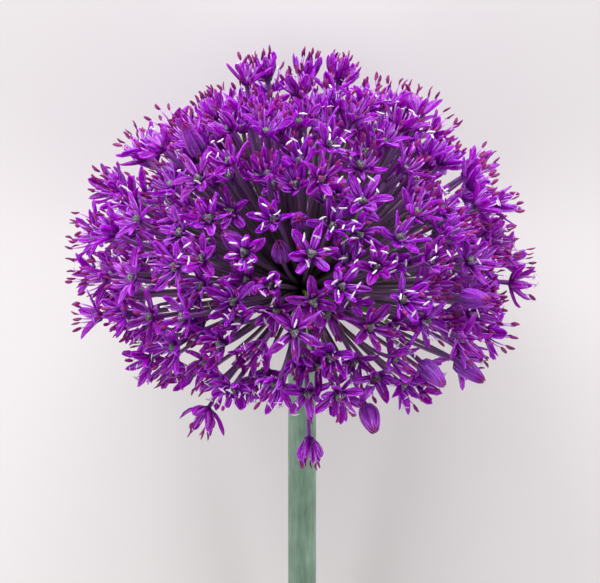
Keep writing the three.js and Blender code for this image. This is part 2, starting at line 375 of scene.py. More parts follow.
class ALLIUM_PG_stamens(bpy.types.PropertyGroup):
    filament_radius: length_prop("Filament radius", "Half the thickness of a filament", 0.23)
    filament_length: length_prop("Filament length", "Length of a filament", 5.3)
    anther_length: length_prop("Anther length", "Length of an anther", 1.8)
    ripe_share: FloatProperty(
        name="Ripe share",
        description="Share of the florets whose anthers have opened",
        default=0.33,
        min=0.0,
        max=1.0,
    )
    filament: colour_prop("Filament", "the filaments", "#B04CD0")
    young: colour_prop("Young anther", "an anther before it opens", "#700456")
    ripe: colour_prop("Ripe anther", "an anther that has opened", "#F6F0F4")


class ALLIUM_PG_ovaries(bpy.types.PropertyGroup):
    radius: length_prop("Ovary radius", "Half the width of an ovary", 1.15)
    style_length: length_prop("Style length", "Length of a style above the ovary", 2.4)
    green: colour_prop("Ovary green", "the ovary", "#667460")
    flush: colour_prop("Ovary flush", "the flush in the ovary's furrows", "#432A48")


class ALLIUM_PG_buds(bpy.types.PropertyGroup):
    thickness: length_prop("Thickness", "Thickness of a bud's tepals", 0.2)
    deep: colour_prop("Rib", "the midribs", "#8818A4")
    body: colour_prop("Blade", "the blades", "#A636CE")
    margin: colour_prop("Margin", "the blades' edges", "#B250E0")
    tip: colour_prop("Tip", "the bud's tip", "#8E0C62")


class ALLIUM_PG_scape(bpy.types.PropertyGroup):
    top_radius: length_prop("Top radius", "Half the stem's thickness under the umbel", SCAPE_TOP_RADIUS)
    cut_radius: length_prop("Cut radius", "Half the stem's thickness at its cut end", SCAPE_CUT_RADIUS)
    sides: IntProperty(name="Sides", description="Points round the stem", default=48, min=12)
    green: colour_prop("Green", "the stem", "#506E57")
    bloom: colour_prop("Bloom", "the waxy bloom on the stem", "#78987F")
    pith: colour_prop("Pith", "the cut end's middle", "#D5DFB8")


class ALLIUM_PG_stage(bpy.types.PropertyGroup):
    table: colour_prop("Table", "the table", "#DAD8D2")
    elevation: FloatProperty(
        name="View above equator",
        description="Angle of the view above the umbel's own equator",
        default=math.radians(28),
        subtype="ANGLE",
        unit="ROTATION",
    )
    distance: length_prop("Camera distance", "From the camera to the middle of the umbel", 900)
    frame_width: length_prop("Frame width", "Width of the picture at the middle of the umbel", 124.4813)


# --- Small tools ---------------------------------------------------------------------------------


def new_mesh():
    """An empty mesh with a UV map and a tone on every vertex."""
    bm = bmesh.new()
    bm.loops.layers.uv.new("UVMap")
    bm.verts.layers.float.new("tone")
    return bm


def mesh_from(bm, name):
    """Ends a bmesh as a mesh."""
    mesh = bpy.data.meshes.new(name)
    bm.to_mesh(mesh)
    bm.free()
    return mesh


def new_object(name, data):
    """Shows a mesh, a light or a camera in the scene."""
    made = bpy.data.objects.new(name, data)
    bpy.context.scene.collection.objects.link(made)
    return made


def write_piece(bm, name, node, *materials):
    """Makes a finished mesh a piece that stands for a node of the solids, hides that node's part, and gives
    the piece its materials.
    """
    for face in bm.faces:
        face.smooth = True
    piece = new_object(name, mesh_from(bm, name))
    for material in materials:
        piece.data.materials.append(material)
    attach(piece, "root")
    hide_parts(node)
    return piece


def thicken(piece, thickness):
    solid = piece.modifiers.new("thickness", "SOLIDIFY")
    solid.thickness = thickness
    solid.offset = 0


# Points under the first height are pressed up, and none comes under the second.
PRESSED_BELOW = 1.4
PRESSED_LEAST = 0.14


def pressed(points):
    """Points that would sink into the table lie down on it instead."""
    give = PRESSED_BELOW - PRESSED_LEAST
    low = points[:, 2] < PRESSED_BELOW
    points[low, 2] = PRESSED_LEAST + give * np.exp((points[low, 2] - PRESSED_BELOW) / give)
    return points


def stamp(bm, template, points, tone):
    """Adds a copy of a template to a mesh, with its vertices at the points and one tone all over."""
    first = len(bm.verts)
    bm.from_mesh(template)
    bm.verts.ensure_lookup_table()
    layer = bm.verts.layers.float["tone"]
    for vert, point in zip(bm.verts[first:], pressed(points) * MM):
        vert.co = point
        vert[layer] = tone


def finish_template(bm, name):
    """The template as a mesh, and the places of its vertices."""
    mesh = mesh_from(bm, name)
    coordinates = np.empty(len(mesh.vertices) * 3)
    mesh.vertices.foreach_get("co", coordinates)
    return mesh, coordinates.reshape(-1, 3)


def blade_template(across, along):
    """A flat sheet whose x runs from -1 to 1 and y from 0 to 1, with a UV map to match."""
    bm = new_mesh()
    bmesh.ops.create_grid(bm, x_segments=across, y_segments=along, size=1.0, calc_uvs=True)
    to_half = Matrix.Translation((0, 0.5, 0)) @ Matrix.Diagonal((1, 0.5, 1, 1))
    bmesh.ops.transform(bm, verts=bm.verts, matrix=to_half)
    return finish_template(bm, "blade")


def wrap_uv(bm, foot, scale):
    """Makes the angle round the z axis UV u, and the height, from a foot and by a scale, UV v."""
    uv = bm.loops.layers.uv.active
    for face in bm.faces:
        for loop in face.loops:
            x, y, z = loop.vert.co
            loop[uv].uv = (math.atan2(y, x) / math.tau + 0.5, foot + scale * z)


def tube_template(sides, rings):
    """An upright tube of radius 1 from z 0 to 1, closed at both ends, with its length as UV v."""
    bm = new_mesh()
    made = bmesh.ops.create_circle(bm, cap_ends=True, segments=sides, radius=1.0)
    face = made["verts"][0].link_faces[0]
    bmesh.ops.reverse_faces(bm, faces=[face])
    for ring in range(rings):
        raised = bmesh.ops.extrude_face_region(bm, geom=[face])["geom"]
        verts = [g for g in raised if isinstance(g, bmesh.types.BMVert)]
        bmesh.ops.translate(bm, verts=verts, vec=(0, 0, 1 / rings))
        # The foot stays closed, and the faces that would stand inside go.
        if ring > 0:
            bmesh.ops.delete(bm, geom=[face], context="FACES_ONLY")
        face = next(g for g in raised if isinstance(g, bmesh.types.BMFace))
    bmesh.ops.recalc_face_normals(bm, faces=bm.faces)
    wrap_uv(bm, 0, 1)
    return finish_template(bm, "tube")


def bead_template(sides, rings):
    """A ball of radius 1 round the origin, with its height as UV v."""
    bm = new_mesh()
    bmesh.ops.create_uvsphere(bm, u_segments=sides, v_segments=rings, radius=1.0)
    wrap_uv(bm, 0.5, 0.5)
    return finish_template(bm, "bead")


def along_path(shape, path, radii):
    """Bends an upright tube of radius 1 along a path, with a radius for each of its rings."""
    steps = np.linspace(0, 1, len(path))
    middle = np.stack([np.interp(shape[:, 2], steps, path[:, i]) for i in range(3)], axis=1)
    slopes = np.gradient(path, axis=0)
    slope = np.stack([np.interp(shape[:, 2], steps, slopes[:, i]) for i in range(3)], axis=1)
    slope /= np.linalg.norm(slope, axis=1)[:, None]
    helper = RIGHT if abs(slope[:, 0]).max() < 0.9 else TOP
    across = np.cross(slope, helper)
    across /= np.linalg.norm(across, axis=1)[:, None]
    beside = np.cross(slope, across)
    radius = np.interp(shape[:, 2], np.linspace(0, 1, len(radii)), radii)[:, None]
    return middle + radius * (shape[:, :1] * across + shape[:, 1:2] * beside)


def in_floret(points, floret):
    """Points of a floret's own frame, its hub at the origin and its face up, as points of the flower."""
    return points @ frame_at(floret["facing"], floret["twist"]) + floret["hub"]


BLADE_STEPS = 32
HOOD_FROM = 0.7


def tepal_points(shape, length, width, channel, opening, bend, hood, side, roll, ripple):
    """A sheet from -1..1 by 0..1 as a tepal that rises from the hub, leans out, curls and ripples."""
    # The rows crowd towards the tip, to round it.
    s, t = shape[:, 0], 1 - (1 - shape[:, 1]) ** 1.6
    steps = np.linspace(0, 1, BLADE_STEPS + 1)
    hooded = np.clip((steps - HOOD_FROM) / (1 - HOOD_FROM), 0, 1) ** 1.5
    angles = np.radians(opening + bend * (steps - 0.45)) - np.radians(hood) * hooded
    middles = (angles[:-1] + angles[1:]) / 2

    def gone(parts):
        """How far the midrib has gone from its foot, where each step goes a part of its length."""
        return np.interp(t, steps, np.concatenate([[0], np.cumsum(parts)]) * length / BLADE_STEPS)

    reach, rise = gone(np.sin(middles)), gone(np.cos(middles))
    angle = np.interp(t, steps, angles)
    # Narrow at its foot, widest past the middle and blunt at the tip.
    half = 0.5 * width * (1 - t) ** 0.6 * (0.42 + 1.5 * t) / 0.76 + 0.03
    across = s * half
    lift = channel * half * (s * s - 0.25) * (1.25 - 0.5 * t) + ripple * across * np.sin(7 * t + 3 * ripple)
    # The blade turns about its own midrib by the roll, more towards its tip.
    turn = roll * t
    across, lift = across * np.cos(turn) - lift * np.sin(turn), across * np.sin(turn) + lift * np.cos(turn)
    radial = 0.45 * HUB_RADIUS + reach - lift * np.cos(angle)
    height = rise + lift * np.sin(angle)
    cos, sin = math.cos(side), math.sin(side)
    return np.stack([radial * cos - across * sin, radial * sin + across * cos, height], axis=1)


def bud_points(shape, side, outer, plump, ajar):
    """A sheet as one of the six tepals that close over a bud, the outer three over the inner."""
    s, t = shape[:, 0], shape[:, 1]
    girth = 1.62 * plump * np.sin(np.pi * t**0.72) ** 0.5 * (1 - 0.28 * t) + 0.3 * (1 - t) + 0.16
    girth = girth + (0.14 if outer else 0.0) + ajar * t**3 - 0.1 * s * s
    span = np.radians(40 if outer else 36) * np.sin(np.pi * np.clip(0.12 + 0.86 * t, 0, 1)) ** 0.5
    around = math.radians(side) + s * span
    height = BUD_LENGTH * 1.08 * t - 0.25
    return np.stack([girth * np.cos(around), girth * np.sin(around), height], axis=1)


# --- Materials -----------------------------------------------------------------------------------

# The inputs of a colour Mix node.
AMOUNT, FIRST, SECOND = 0, 6, 7
MIX = {"data_type": "RGBA", "blend_type": "MIX"}
MULTIPLY = {"data_type": "RGBA", "blend_type": "MULTIPLY"}


def rgba(colour):
    """A grey's value, a hex value or a triple, with alpha."""
    if isinstance(colour, str):
        colour = linear(colour)
    return (colour, colour, colour, 1) if isinstance(colour, float) else (*colour, 1)


def start_material(name):
    material = bpy.data.materials.new(name)
    material.use_nodes = True
    return material


def fill_inputs(tree, node, inputs):
    """Fills a node's inputs: a value or a colour is set, and a node or a socket is linked."""
    for key, value in inputs.items():
        socket = node.inputs[key]
        if isinstance(value, bpy.types.Node):
            value = next(output for output in value.outputs if output.enabled)
        if isinstance(value, bpy.types.NodeSocket):
            tree.links.new(value, socket)
        else:
            socket.default_value = rgba(value) if socket.type == "RGBA" else value


def add(skin, kind, inputs=None, stops=(), **settings):
    """Adds a node to a material, with its settings, its inputs and, on a colour ramp, its stops."""
    node = skin.node_tree.nodes.new("ShaderNode" + kind)
    for key, value in settings.items():
        setattr(node, key, value)
    fill_inputs(skin.node_tree, node, inputs or {})
    if stops:
        elements = node.color_ramp.elements
        while len(elements) < len(stops):
            elements.new(0.5)
        for element, (position, colour) in zip(elements, stops):
            element.position = position
            element.color = rgba(colour)
    return node


def surface(skin, inputs):
    """Fills the inputs of a material's surface, and gives the material back."""
    fill_inputs(skin.node_tree, skin.node_tree.nodes["Principled BSDF"], inputs)
    return skin


def watery(weight, depth):
    """A skin over wet cells: this share of the light comes out again about this many millimetres off."""
    return {"IOR": 1.42, "Subsurface Weight": weight, "Subsurface Scale": depth * MM}


def every(millimetres):
    """The scale of a pattern whose spots are about this far apart."""
    return 1 / (millimetres * MM)


def petal_skin(name, props, tip):
    """Fresh tepal: a thin waxy skin over watery cells, so it is satin, glows a little where light
    comes through, and has fine veins along it and a deep midrib. Its pale lilac streaks are painted
    sheen and its darker blotches painted shade; a pale lilac tip is painted highlight, a crimson one a bud's
    own colour."""
    skin = start_material(name)
    uv = add(skin, "UVMap", uv_map="UVMap")
    split = add(skin, "SeparateXYZ", {"Vector": uv})
    along = split.outputs["Y"]
    tone = add(skin, "Attribute", attribute_name="tone").outputs["Fac"]
    place = add(skin, "TexCoord").outputs["Object"]
    # Across: 0 at the midrib and 0.5 at the margins.
    centred = add(skin, "Math", {0: split.outputs["X"], 1: 0.5}, operation="SUBTRACT")
    from_rib = add(skin, "Math", {0: centred}, operation="ABSOLUTE")
    rib, body = props.deep, props.body
    stops = [(0.0, rib), (0.05, rib), (0.13, body), (0.36, body), (0.5, props.margin)]
    blade = add(skin, "ValToRGB", {"Fac": from_rib}, stops)
    # Towards the tip the blade takes the tip colour: on an open tepal a pale lilac that is painted
    # highlight, on a bud its own crimson.
    at_tip = add(skin, "ValToRGB", {"Fac": along}, [(0.78, 0.0), (0.97, 1.0)])
    stops = [(0.0, 0.55), (0.25, 0.9), (0.8, 1.0), (1.0, 0.8)]
    along_tint = add(skin, "ValToRGB", {"Fac": along}, stops)
    # Every tepal's tone also shifts its veins and its streaks of painted sheen, so that no two look alike.
    own = add(skin, "Math", {0: tone, 1: 60.0}, operation="MULTIPLY")
    # Nine veins across a blade of about 2 mm, and pale lilac streaks of painted sheen half as wide again.
    veined = add(skin, "Mapping", {"Vector": uv, "Scale": (9.0, 1.2, 1.0)})
    streaked = add(skin, "Mapping", {"Vector": uv, "Scale": (6.0, 1.6, 1.0)})
    fine = {"W": own, "Scale": 1.0, "Detail": 2.0}
    veins = add(skin, "TexNoise", {"Vector": veined, **fine}, noise_dimensions="4D")
    streaks = add(skin, "TexNoise", {"Vector": streaked, **fine}, noise_dimensions="4D")
    stops = [(0.32, 0.45), (0.5, 0.9), (0.68, "#FFE8FF")]
    vein_tint = add(skin, "ValToRGB", {"Fac": veins}, stops)
    painted_sheen_share = add(skin, "ValToRGB", {"Fac": streaks}, [(0.52, 0.0), (0.67, 0.9)])
    # Painted shade: darker blotches pass over neighbouring tepals alike, as the shade in a crowded head
    # does.
    painted_shade = add(skin, "TexNoise", {"Vector": place, "Scale": every(3.846), "Detail": 2.0})
    painted_shade_tint = add(skin, "ValToRGB", {"Fac": painted_shade}, [(0.3, 0.62), (0.7, 1.0)])
    stops = [(0.0, "#E4C0D8"), (0.5, 1.0), (1.0, "#F0DCFF")]
    own_tint = add(skin, "ValToRGB", {"Fac": tone}, stops)
    colour = blade
    for kind, amount, layer in (
        (MIX, at_tip, tip),
        (MULTIPLY, 1.0, along_tint),
        (MULTIPLY, 0.8, vein_tint),
        # Painted sheen: the pale lilac streaks.
        (MIX, painted_sheen_share, "#C684F8"),
        # Painted shade: the darker blotches.
        (MULTIPLY, 0.8, painted_shade_tint),
        (MULTIPLY, 0.9, own_tint),
    ):
        colour = add(skin, "Mix", {AMOUNT: amount, FIRST: colour, SECOND: layer}, **kind)
    # Puckers of about half a millimetre break the gloss into small lights.
    puckers = add(skin, "TexNoise", {"Vector": place, "Scale": every(0.5263), "Detail": 2.0})
    coarse = add(skin, "Bump", {"Height": puckers, "Strength": 0.8, "Distance": 0.0003})
    bump = add(skin, "Bump", {"Height": veins, "Normal": coarse, "Strength": 0.4, "Distance": 0.0001})
    shine = add(skin, "ValToRGB", {"Fac": streaks}, [(0.35, 0.34), (0.65, 0.12)])
    violet = {**watery(0.7, 1.0), "Subsurface Radius": (1.0, 0.35, 1.0), "Specular IOR Level": 0.22}
    return surface(skin, {"Base Color": colour, "Normal": bump, "Roughness": shine, **violet})


def stalk_flushed(props):
    """Pedicel: a smooth waxy stalk, olive green near the receptacle and flushed plum in the sun, and
    darkened further at its foot by painted shade from the umbel's heart.
    """
    skin = start_material("stalk_flushed_green")
    uv = add(skin, "UVMap", uv_map="UVMap")
    split = add(skin, "SeparateXYZ", {"Vector": uv})
    tone = add(skin, "Attribute", attribute_name="tone").outputs["Fac"]
    place = add(skin, "TexCoord").outputs["Object"]
    # The flush climbs the stalk unevenly, in patches of about a centimetre.
    patchy = add(skin, "TexNoise", {"Vector": place, "Scale": every(11.11), "Detail": 3.0})
    shifted = add(skin, "Math", {0: patchy, 1: 0.5, 2: split.outputs["Y"]}, operation="MULTIPLY_ADD")
    # The darkest stop, at the foot of the stalk in the umbel's heart, is painted shade; olive and plum are
    # the stalk's own colours.
    stops = [(0.1, "#42263C"), (0.45, props.olive), (0.8, props.plum), (1.0, "#86389A")]
    flush = add(skin, "ValToRGB", {"Fac": shifted}, stops)
    # About one stalk in thirty stayed green.
    greener = add(skin, "ValToRGB", {"Fac": tone}, [(0.955, 0.0), (0.975, 1.0)])
    colour = add(skin, "Mix", {AMOUNT: greener, FIRST: flush, SECOND: props.fresh}, **MIX)
    # Fibres about 0.2 mm apart run along it.
    streaked = add(skin, "Mapping", {"Vector": uv, "Scale": (14.0, 2.0, 1.0)})
    fibre = add(skin, "TexNoise", {"Vector": streaked, "Scale": 1.0, "Detail": 2.0})
    fibre_tint = add(skin, "ValToRGB", {"Fac": fibre}, [(0.3, 0.75), (0.7, 1.2)])
    colour = add(skin, "Mix", {AMOUNT: 0.8, FIRST: colour, SECOND: fibre_tint}, **MULTIPLY)
    bump = add(skin, "Bump", {"Height": fibre, "Strength": 0.3, "Distance": 0.0001})
    return surface(skin, {"Base Color": colour, "Normal": bump, "Roughness": 0.45, **watery(0.12, 0.5)})


def filament_lilac(props):
    """Filament: a slim watery stalk that shades from violet at its foot to pale lilac."""
    skin = start_material("filament_lilac")
    split = add(skin, "SeparateXYZ", {"Vector": add(skin, "UVMap", uv_map="UVMap")})
    stops = [(0.0, "#7A1494"), (0.5, props.filament), (1.0, "#CE98E6")]
    colour = add(skin, "ValToRGB", {"Fac": split.outputs["Y"]}, stops)
    place = add(skin, "TexCoord").outputs["Object"]
    speck = add(skin, "TexNoise", {"Vector": place, "Scale": every(1.111)})
    speck_tint = add(skin, "ValToRGB", {"Fac": speck}, [(0.3, 0.75), (0.7, 1.1)])
    colour = add(skin, "Mix", {AMOUNT: 0.6, FIRST: colour, SECOND: speck_tint}, **MULTIPLY)
    return surface(skin, {"Base Color": colour, "Roughness": 0.4, **watery(0.2, 0.4)})


def anther_skin(name, colour_a, colour_b, roughness, strength):
    """Anther: a dry sac with a furrow along it, smooth while it is shut, and dusted with pale pollen
    once it has split."""
    skin = start_material(name)
    place = add(skin, "TexCoord").outputs["Object"]
    # Grains of a quarter of a millimetre, coarser than real pollen so that they show.
    grains = add(skin, "TexNoise", {"Vector": place, "Scale": every(0.25), "Detail": 2.0})
    colour = add(skin, "ValToRGB", {"Fac": grains}, [(0.35, colour_a), (0.65, colour_b)])
    bump = add(skin, "Bump", {"Height": grains, "Strength": strength, "Distance": 0.0001})
    dry = {"Roughness": roughness, "Specular IOR Level": 0.3}
    return surface(skin, {"Base Color": colour, "Normal": bump, **dry})


def ovary_warty(props):
    """Ovary: a three-lobed green capsule with a warty, slightly glossy skin and purple furrows; its pale
    wart tops are painted highlights.
    """
    skin = start_material("ovary_warty_green")
    place = add(skin, "TexCoord").outputs["Object"]
    warts = add(skin, "TexVoronoi", {"Vector": place, "Scale": every(0.33333)})
    # The pale stop, on the wart tops, is painted highlight; the green and the purple furrows are the ovary's
    # own colours.
    stops = [(0.1, "#A4AE98"), (0.45, props.green), (0.8, props.flush)]
    colour = add(skin, "ValToRGB", {"Fac": warts}, stops)
    bump = add(skin, "Bump", {"Height": warts, "Strength": 0.6, "Distance": 0.0002}, invert=True)
    return surface(skin, {"Base Color": colour, "Normal": bump, "Roughness": 0.35, "IOR": 1.42})


def stem_bloomed(props):
    """Scape: smooth green skin under a pale waxy bloom that is rubbed in streaks along it."""
    skin = start_material("stem_bloomed_green")
    uv = add(skin, "UVMap", uv_map="UVMap")
    # Ribs and fibres about 0.7 mm apart round the stem, and long.
    stretched = add(skin, "Mapping", {"Vector": uv, "Scale": (26.0, 3.0, 1.0)})
    fibres = add(skin, "TexNoise", {"Vector": stretched, "Scale": 1.0, "Detail": 4.0})
    place = add(skin, "TexCoord").outputs["Object"]
    rubbed = add(skin, "TexNoise", {"Vector": place, "Scale": every(8.333), "Detail": 5.0})
    both = {AMOUNT: 0.5, FIRST: fibres.outputs["Color"], SECOND: rubbed.outputs["Color"]}
    waxed = add(skin, "Mix", both, **MIX)
    colour = add(skin, "ValToRGB", {"Fac": waxed}, [(0.36, props.green), (0.62, props.bloom)])
    fleck = add(skin, "ValToRGB", {"Fac": rubbed}, [(0.3, 0.85), (0.6, 1.05)])
    colour = add(skin, "Mix", {AMOUNT: 1.0, FIRST: colour, SECOND: fleck}, **MULTIPLY)
    # The skin flushes brown between 7.6 and 4 mm from the umbel's centre, from v -0.38 to v -0.2.
    height = add(skin, "SeparateXYZ", {"Vector": uv})
    from_top = add(skin, "Math", {0: height.outputs["Y"], 1: 1.0}, operation="ADD")
    flushed = add(skin, "ValToRGB", {"Fac": from_top}, [(0.62, 0.0), (0.8, 0.8)])
    colour = add(skin, "Mix", {AMOUNT: flushed, FIRST: colour, SECOND: "#6C5C62"}, **MIX)
    bump = add(skin, "Bump", {"Height": fibres, "Strength": 0.35, "Distance": 0.0002})
    # The bloom scatters light at the stem's sides.
    wax = {"Sheen Weight": 0.35, "Sheen Roughness": 0.5, "Sheen Tint": "#DCE8E4"}
    return surface(skin, {"Base Color": colour, "Normal": bump, "Roughness": 0.5, **watery(0.1, 1.0), **wax})


def cut_face(props):
    """Cut end: moist pale pith with darker vessels."""
    skin = start_material("cut_pith")
    place = add(skin, "TexCoord").outputs["Object"]
    vessels = add(skin, "TexVoronoi", {"Vector": place, "Scale": every(0.625)})
    colour = add(skin, "ValToRGB", {"Fac": vessels}, [(0.12, "#8FA56A"), (0.4, props.pith)])
    bump = add(skin, "Bump", {"Height": vessels, "Strength": 0.4, "Distance": 0.0001})
    return surface(skin, {"Base Color": colour, "Normal": bump, "Roughness": 0.3})


# --- Operators -----------------------------------------------------------------------------------

# Where each operator's own draws start.
PEDICEL_SEED, TEPAL_SEED, STAMEN_SEED, OVARY_SEED, BUD_SEED = 11, 5, 23, 31, 41

# The skin's height on the stem's UV map, in millimetres for each unit.
SKIN_UV_HEIGHT = 20
STEM_RIBS = 11
RIB_DEPTH = 0.012
# Where the stem widens into the receptacle: distance along the axis and how much wider it is.
COLLAR = [(-8.5, 0.02), (-6.5, 0.08), (-5.0, 0.2), (-4.1, 0.34), (-3.3, 0.46)]


class ALLIUM_OT_scape(bpy.types.Operator):
    """Grow the bare stem, from its cut end to the umbel"""

    bl_idname = "allium.scape"
    bl_label = "Scape"

    def execute(self, context):
        props = context.scene.allium_scape
        cut, top = props.cut_radius / MM, props.top_radius / MM
        # Distance along the axis from the umbel's centre, and radius, from the bevelled cut end up.
        profile = [(-SCAPE_LENGTH, cut - 0.25), (-SCAPE_LENGTH + 0.22, cut)]
        for share in np.linspace(0.04, 1, 14):
            profile.append((-SCAPE_LENGTH + share * (SCAPE_LENGTH - 11), cut + (top - cut) * share))
        profile += [(at, top + wider) for at, wider in COLLAR]
        bm = new_mesh()
        bmesh.ops.create_circle(bm, cap_ends=False, segments=props.sides, radius=1.0)
        edges = list(bm.edges)
        cut_end = bmesh.ops.contextual_create(bm, geom=edges)["faces"][0]
        # Every ring is raised as a circle of radius 1, and then gets its place and its faint ribs.
        rings = [list(bm.verts)]
        for _ in profile[1:]:
            raised = bmesh.ops.extrude_edge_only(bm, edges=edges)["geom"]
            ring = [g for g in raised if isinstance(g, bmesh.types.BMVert)]
            edges = [g for g in raised if isinstance(g, bmesh.types.BMEdge) and set(g.verts) <= set(ring)]
            rings.append(ring)
        bmesh.ops.contextual_create(bm, geom=edges)
        cut_end.material_index = 1
        for ring, (at, radius) in zip(rings, profile):
            for vert in ring:
                ribs = math.cos(STEM_RIBS * math.atan2(vert.co.y, vert.co.x))
                ribbed = radius * (1 - RIB_DEPTH + RIB_DEPTH * ribs)
                vert.co = (vert.co.x * ribbed, vert.co.y * ribbed, at)
        self.unwrap(bm)
        for vert in bm.verts:
            vert.co = Vector((CENTRE + vert.co @ Matrix([RIGHT, UPPER, TOP])) * MM)
        bmesh.ops.recalc_face_normals(bm, faces=bm.faces)
        piece = write_piece(bm, "scape_skin", "scape", stem_bloomed(props), cut_face(props))
        for polygon in piece.data.polygons:
            polygon.use_smooth = polygon.material_index == 0
        return {"FINISHED"}

    def unwrap(self, bm):
        """The angle round the stem as UV u, and the height as UV v."""
        wrap_uv(bm, 0, 1 / SKIN_UV_HEIGHT)
        uv = bm.loops.layers.uv.active
        for face in bm.faces:
            # No face spans more than half the way round.
            turns = [loop[uv].uv.x for loop in face.loops]
            for loop in face.loops:
                if max(turns) - min(turns) > 0.5 and loop[uv].uv.x < 0.5:
                    loop[uv].uv.x += 1


class ALLIUM_OT_receptacle(bpy.types.Operator):
    """Swell the stem's tip into the knob from which all pedicels grow"""

    bl_idname = "allium.receptacle"
    bl_label = "Receptacle"

    def execute(self, context):
        mesh, shape = bead_template(24, 16)
        x, y, z = shape[:, 0], shape[:, 1], shape[:, 2]
        wide = RECEPTACLE_RADIUS * 0.98
        rough = 1 + 0.03 * np.sin(9 * x) * np.sin(7 * y)
        height = z * np.where(z < 0, RECEPTACLE_FOOT, wide)
        # Its underside widens at once from the stem's end.
        from_axis = np.maximum(np.hypot(x, y), 1e-6)
        radius = wide * rough * np.where(z < -0.01, from_axis**-0.6, 1)
        bm = new_mesh()
        points = np.stack([radius * x, radius * y, height], axis=1) @ [RIGHT, UPPER, TOP]
        stamp(bm, mesh, CENTRE + points, 0.3)
        # The flower's three axes are left-handed, so the ball came out inside out.
        bmesh.ops.reverse_faces(bm, faces=bm.faces)
        write_piece(bm, "receptacle", "umbel", bpy.data.materials["stalk_flushed_green"])
        return {"FINISHED"}


class ALLIUM_OT_pedicels(bpy.types.Operator):
    """Grow a pedicel to every floret and bud, flared into the floret's foot"""

    bl_idname = "allium.pedicels"
    bl_label = "Pedicels"

    def execute(self, context):
        props = context.scene.allium_stalks
        low, high, foot = props.root_radius / MM, props.top_radius / MM, props.hub_radius / MM
        radii = [1.25 * low, low, low, 0.94 * high, 0.96 * high, high, 1.1 * high]
        radii += [0.62 * foot, 0.88 * foot, foot]
        share = np.array([0, 0.12, 0.3, 0.5, 0.68, 0.82, 0.91, 0.96, 0.985, 1.0])[:, None]
        mesh, shape = tube_template(7, 9)
        bm = new_mesh()
        rng = random.Random(PEDICEL_SEED)
        for floret in PLACED:
            hub, direction, facing = floret["hub"], floret["direction"], floret["facing"]
            # It grows straight out, sways a little, and bends at a knee to face where the floret does.
            root = CENTRE + direction * (RECEPTACLE_RADIUS - 1.2)
            knee = hub - facing * 7.0
            sway = frame_at(direction, 360 * rng.random())[0] * rng.uniform(0, 0.9)
            bend, end = knee + sway, hub + facing * 0.35
            path = (1 - share) ** 2 * root + 2 * share * (1 - share) * bend + share**2 * end
            stout = rng.uniform(0.9, 1.15)
            stamp(bm, mesh, along_path(shape, path, np.array(radii) * stout), rng.random())
        write_piece(bm, "pedicels", "umbel", stalk_flushed(props))
        return {"FINISHED"}


class ALLIUM_OT_tepals(bpy.types.Operator):
    """Grow six tepals on every open floret"""

    bl_idname = "allium.tepals"
    bl_label = "Tepals"

    def execute(self, context):
        props = context.scene.allium_tepals
        full, light = blade_template(4, 5), blade_template(2, 4)
        bm = new_mesh()
        rng = random.Random(TEPAL_SEED)
        for floret in OPEN_FLORETS:
            mesh, shape = light if floret["small"] else full
            tone = rng.random()
            # The stragglers that are barely open keep the shape of a bell.
            curl = -55 if floret["open"] < 42 and not floret["small"] else rng.uniform(-35, 30)
            for k in range(TEPALS):
                points = tepal_points(
                    shape,
                    length=TEPAL_LENGTH * rng.uniform(0.83, 1.02),
                    width=props.width / MM * rng.uniform(0.72, 1.12),
                    channel=props.channel * rng.uniform(0.5, 2.0),
                    opening=floret["open"] + rng.uniform(-16, 14) - (5 if k % 2 else 0),
                    bend=curl + rng.uniform(-24, 20),
                    hood=rng.uniform(40, 90) if rng.random() < 0.2 else rng.uniform(0, 22),
                    side=math.radians(60 * k + rng.uniform(-10, 10)),
                    roll=math.radians(rng.gauss(0, 36)),
                    ripple=rng.uniform(-0.35, 0.35),
                )
                stamp(bm, mesh, in_floret(points, floret), min(1, max(0, tone + rng.uniform(-0.2, 0.2))))
        piece = write_piece(bm, "tepals", "umbel", petal_skin("petal_violet", props, props.pale))
        thicken(piece, props.thickness)
        return {"FINISHED"}


